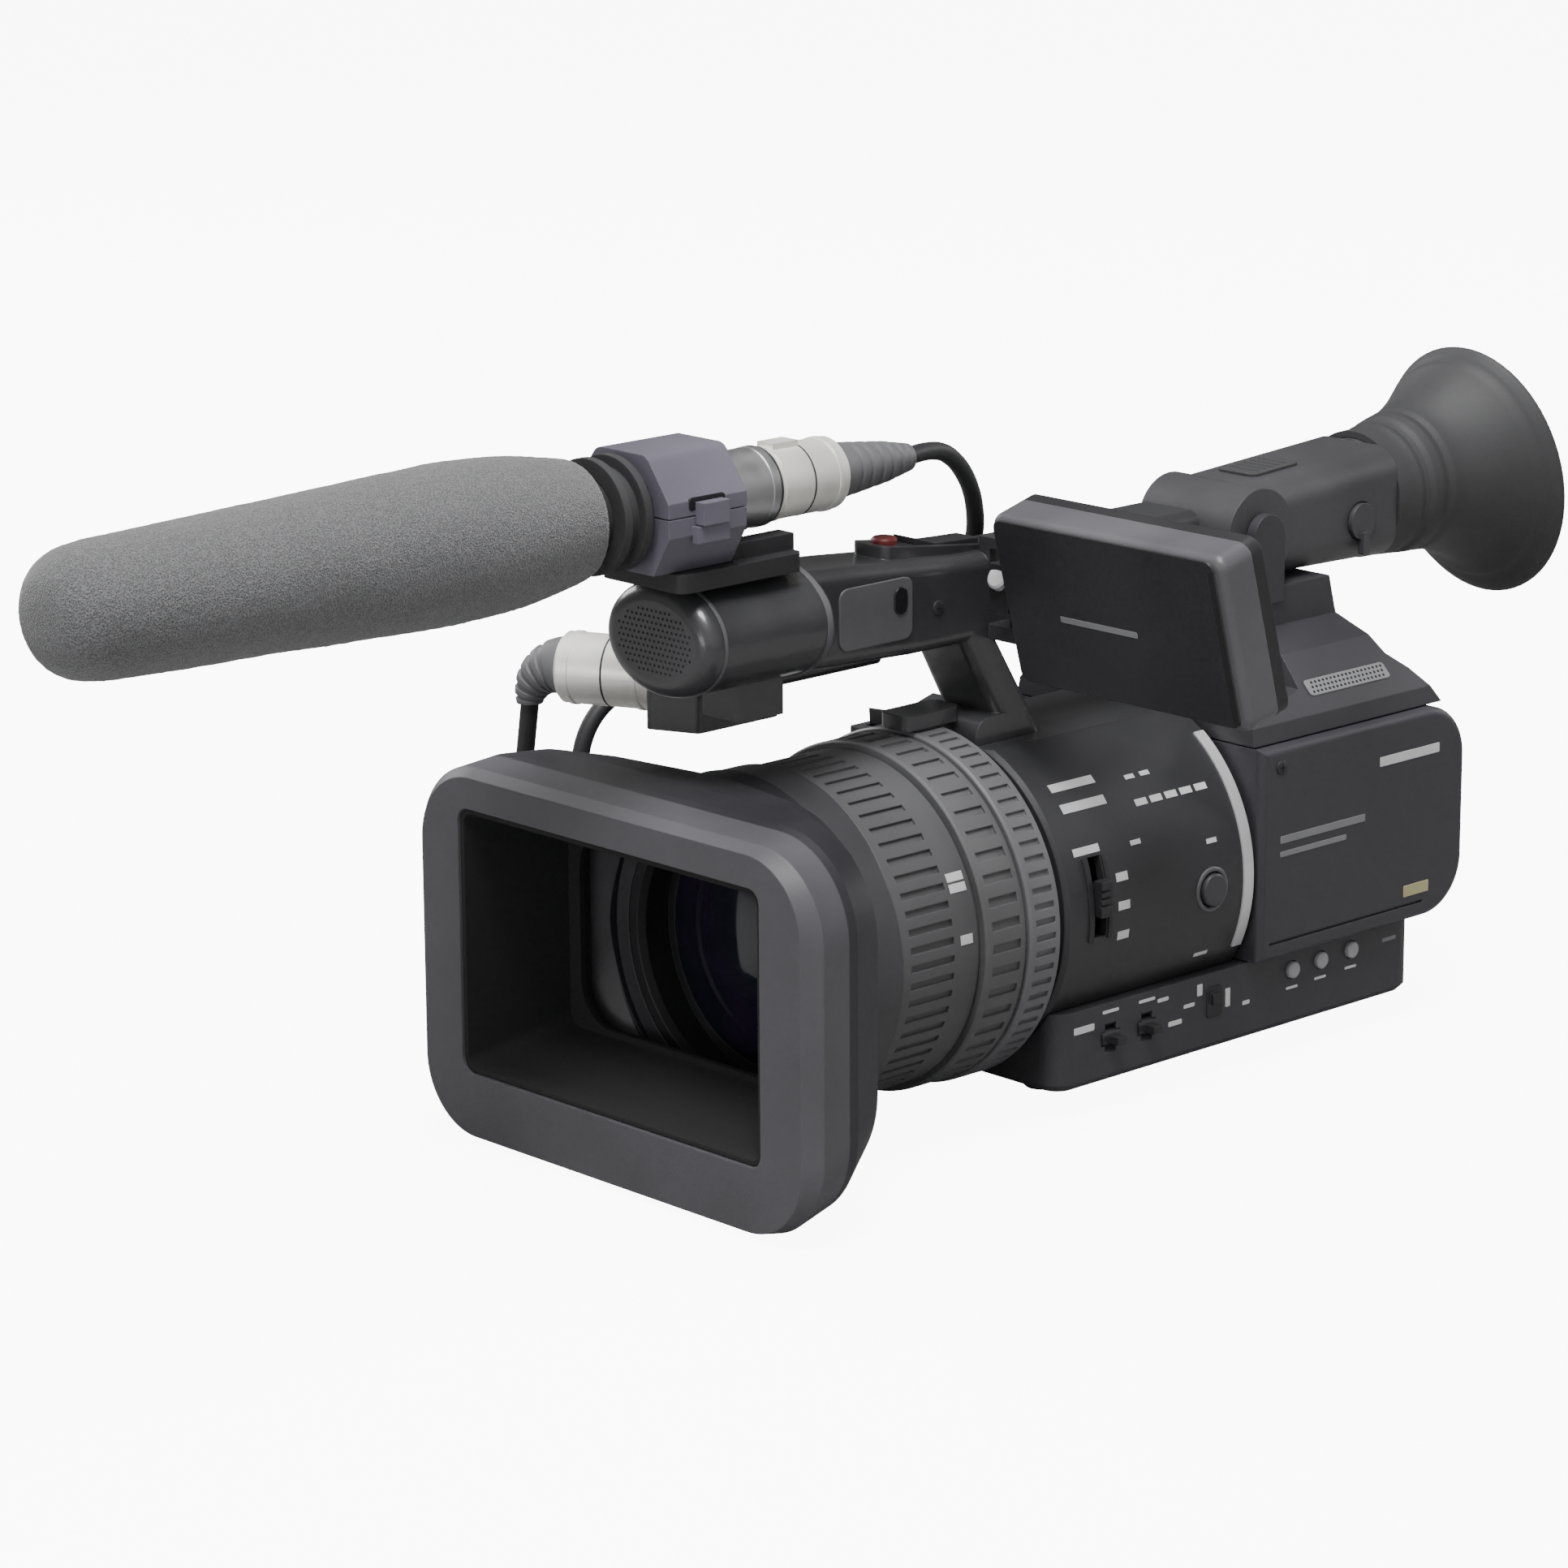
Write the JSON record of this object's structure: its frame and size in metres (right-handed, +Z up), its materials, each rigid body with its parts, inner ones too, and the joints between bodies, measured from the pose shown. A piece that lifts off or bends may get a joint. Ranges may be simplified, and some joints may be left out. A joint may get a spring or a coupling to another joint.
{
  "type": "camcorder",
  "caption": "Hand-held video camera with a rectangular lens hood, top handle, fold-out monitor, tilting viewfinder, hand grip and clamped shotgun microphone.",
  "frame": {"origin": "centre of the tripod thread's mouth, on the underside of the tripod plate, in the plane the feet stand on", "axes": "+Z up, -Y the way the lens looks, +X the operator's left, on the monitor's side"},
  "size_m": [0.2071, 0.5222, 0.2007],
  "materials": {
    "violet_grey_plastic": "semi-matt violet-grey painted housing",
    "light_grey_plastic": "satin metallic grey-violet paint on plastic",
    "black_plastic": "fine-textured black plastic",
    "gloss_black": "gloss black",
    "flock_black": "matt black flock on the hood's inner walls",
    "ring_rubber": "ribbed black rubber",
    "soft_rubber": "soft matt black rubber",
    "barrel_metal": "dark grey anodised look",
    "glass_coated": "coated optical glass",
    "screen_glass": "dark display panel",
    "sensor": "prism and circuit board",
    "board": "green circuit board",
    "steel": "brushed",
    "nickel": "satin nickel",
    "strap_fabric": "padded black webbing",
    "foam_grey": "open-cell foam",
    "button_grey": "light grey buttons",
    "button_red": "red record button",
    "cable_rubber": "black cable jacket"
  },
  "bodies": {
    "camera_body": {"hood_shell": "violet_grey_plastic", "hood_liner": "flock_black", "lens_barrel": "barrel_metal", "front_lens": "glass_coated", "lens_bezel": "black_plastic", "inner_lens": "glass_coated", "sensor_block": "sensor", "control_housing": "light_grey_plastic", "side_cover": "violet_grey_plastic", "right_cover": "violet_grey_plastic", "top_cover": "violet_grey_plastic", "base_tray": "violet_grey_plastic", "tripod_plate": "steel", "feet": "soft_rubber", "main_board": "board", "rear_panel": "black_plastic", "case_screws": "steel", "grip_housing": "black_plastic", "hand_strap": "strap_fabric", "handle": "violet_grey_plastic", "input_block": "black_plastic", "input_jacks": "nickel", "input_plug": "nickel", "input_plug_boot": "cable_rubber", "shoe_mount": "black_plastic", "mic_clamp_base": "light_grey_plastic", "mic_clamp_rubber": "soft_rubber", "mic_tube": "gloss_black", "windscreen": "foam_grey", "mic_plug": "nickel", "mic_plug_boot": "cable_rubber", "mic_cable": "cable_rubber"},
    "focus_ring": {"focus_ring": "ring_rubber"},
    "zoom_ring": {"zoom_ring": "ring_rubber"},
    "iris_ring": {"iris_ring": "barrel_metal"},
    "push_auto_button": {"push_auto_button": "black_plastic"},
    "user_button_1": {"user_button_1": "button_grey"},
    "user_button_2": {"user_button_2": "button_grey"},
    "user_button_3": {"user_button_3": "button_grey"},
    "nd_switch": {"nd_switch": "black_plastic"},
    "gain_switch": {"gain_switch": "black_plastic"},
    "white_balance_switch": {"white_balance_switch": "black_plastic"},
    "battery": {"battery": "black_plastic"},
    "battery_release": {"battery_release": "black_plastic"},
    "card_door": {"card_door": "violet_grey_plastic"},
    "grip_zoom_rocker": {"grip_zoom_rocker": "black_plastic"},
    "grip_rec_button": {"grip_rec_button": "button_red"},
    "power_lever": {"power_lever": "gloss_black"},
    "handle_zoom_rocker": {"handle_zoom_rocker": "black_plastic"},
    "handle_rec_button": {"handle_rec_button": "button_red"},
    "jack_release": {"jack_release": "nickel"},
    "mic_clamp_lid": {"mic_clamp_lid": "light_grey_plastic"},
    "lcd_hinge": {"lcd_hinge": "black_plastic"},
    "diopter_lever": {"diopter_lever": "black_plastic"},
    "lcd_monitor": {"lcd_back": "light_grey_plastic", "lcd_bezel": "black_plastic", "lcd_screen": "screen_glass"},
    "viewfinder": {"evf_body": "violet_grey_plastic", "evf_lens": "glass_coated", "eyecup": "soft_rubber"}
  },
  "joints": [
    {"name": "focus_turn", "type": "hinge", "parent": "camera_body", "child": "focus_ring", "pos_m": [0, -0.123, 0.056], "axis": [0, 1, 0], "continuous": true},
    {"name": "zoom_turn", "type": "hinge", "parent": "camera_body", "child": "zoom_ring", "pos_m": [0, -0.1, 0.056], "axis": [0, 1, 0], "range_deg": [-45, 45]},
    {"name": "iris_turn", "type": "hinge", "parent": "camera_body", "child": "iris_ring", "pos_m": [0, -0.086, 0.056], "axis": [0, 1, 0], "continuous": true},
    {"name": "push_auto_press", "type": "slide", "parent": "camera_body", "child": "push_auto_button", "axis": [-1, 0, 0], "range_m": [0, 0.0008], "stiffness_N_per_m": 400, "springref_m": -0.0015},
    {"name": "user_button_1_press", "type": "slide", "parent": "camera_body", "child": "user_button_1", "axis": [-1, 0, 0], "range_m": [0, 0.0007], "stiffness_N_per_m": 400, "springref_m": -0.0015},
    {"name": "user_button_2_press", "type": "slide", "parent": "camera_body", "child": "user_button_2", "axis": [-1, 0, 0], "range_m": [0, 0.0007], "stiffness_N_per_m": 400, "springref_m": -0.0015},
    {"name": "user_button_3_press", "type": "slide", "parent": "camera_body", "child": "user_button_3", "axis": [-1, 0, 0], "range_m": [0, 0.0007], "stiffness_N_per_m": 400, "springref_m": -0.0015},
    {"name": "nd_slide", "type": "slide", "parent": "camera_body", "child": "nd_switch", "axis": [0, 0, 1], "range_m": [-0.0055, 0.0055]},
    {"name": "gain_tip", "type": "hinge", "parent": "camera_body", "child": "gain_switch", "pos_m": [0.042, -0.055, 0.02], "axis": [0, 1, 0], "range_deg": [-18, 18]},
    {"name": "white_balance_tip", "type": "hinge", "parent": "camera_body", "child": "white_balance_switch", "pos_m": [0.042, -0.0405, 0.02], "axis": [0, 1, 0], "range_deg": [-18, 18]},
    {"name": "battery_slide", "type": "slide", "parent": "camera_body", "child": "battery", "axis": [0, 1, 0], "range_m": [0, 0.045]},
    {"name": "battery_release_press", "type": "slide", "parent": "camera_body", "child": "battery_release", "axis": [0, -1, 0], "range_m": [0, 0.0012], "stiffness_N_per_m": 400, "springref_m": -0.0015},
    {"name": "card_door_swing", "type": "hinge", "parent": "camera_body", "child": "card_door", "pos_m": [-0.0401, 0.0864, 0.06], "axis": [0, 0, 1], "range_deg": [0, 100]},
    {"name": "grip_zoom_tip", "type": "hinge", "parent": "camera_body", "child": "grip_zoom_rocker", "pos_m": [-0.061, -0.026, 0.084], "axis": [1, 0, 0], "range_deg": [-5, 5], "stiffness_Nm_per_rad": 0.4},
    {"name": "grip_rec_press", "type": "slide", "parent": "camera_body", "child": "grip_rec_button", "axis": [0, -1, 0], "range_m": [0, 0.001], "stiffness_N_per_m": 400, "springref_m": -0.0015},
    {"name": "power_turn", "type": "hinge", "parent": "camera_body", "child": "power_lever", "pos_m": [-0.058, 0.084, 0.062], "axis": [0, 1, 0], "range_deg": [-30, 30]},
    {"name": "handle_zoom_tip", "type": "hinge", "parent": "camera_body", "child": "handle_zoom_rocker", "pos_m": [0, -0.079, 0.1526], "axis": [1, 0, 0], "range_deg": [-4, 4], "stiffness_Nm_per_rad": 0.4},
    {"name": "handle_rec_press", "type": "slide", "parent": "camera_body", "child": "handle_rec_button", "axis": [0, 0, -1], "range_m": [0, 0.001], "stiffness_N_per_m": 400, "springref_m": -0.0015},
    {"name": "jack_release_press", "type": "slide", "parent": "camera_body", "child": "jack_release", "axis": [0, 0, -1], "range_m": [0, 0.0007], "stiffness_N_per_m": 400, "springref_m": -0.0015},
    {"name": "clamp_lid_open", "type": "hinge", "parent": "camera_body", "child": "mic_clamp_lid", "pos_m": [-0.0186, -0.1786, 0.1805], "axis": [0, -1, 0], "range_deg": [0, 100]},
    {"name": "monitor_swing", "type": "hinge", "parent": "camera_body", "child": "lcd_hinge", "pos_m": [0.022, -0.065, 0.144], "axis": [0, 0, 1], "range_deg": [-20, 90]},
    {"name": "monitor_tilt", "type": "hinge", "parent": "lcd_hinge", "child": "lcd_monitor", "pos_m": [0.06, -0.0743, 0.1466], "axis": [-1, 0, 0], "range_deg": [-165, 15]},
    {"name": "viewfinder_tilt", "type": "hinge", "parent": "camera_body", "child": "viewfinder", "pos_m": [0, 0.033, 0.1435], "axis": [1, 0, 0], "range_deg": [0, 80]},
    {"name": "diopter_turn", "type": "hinge", "parent": "viewfinder", "child": "diopter_lever", "pos_m": [0.018, 0.076, 0.1415], "axis": [1, 0, 0], "range_deg": [-25, 25]}
  ]
}
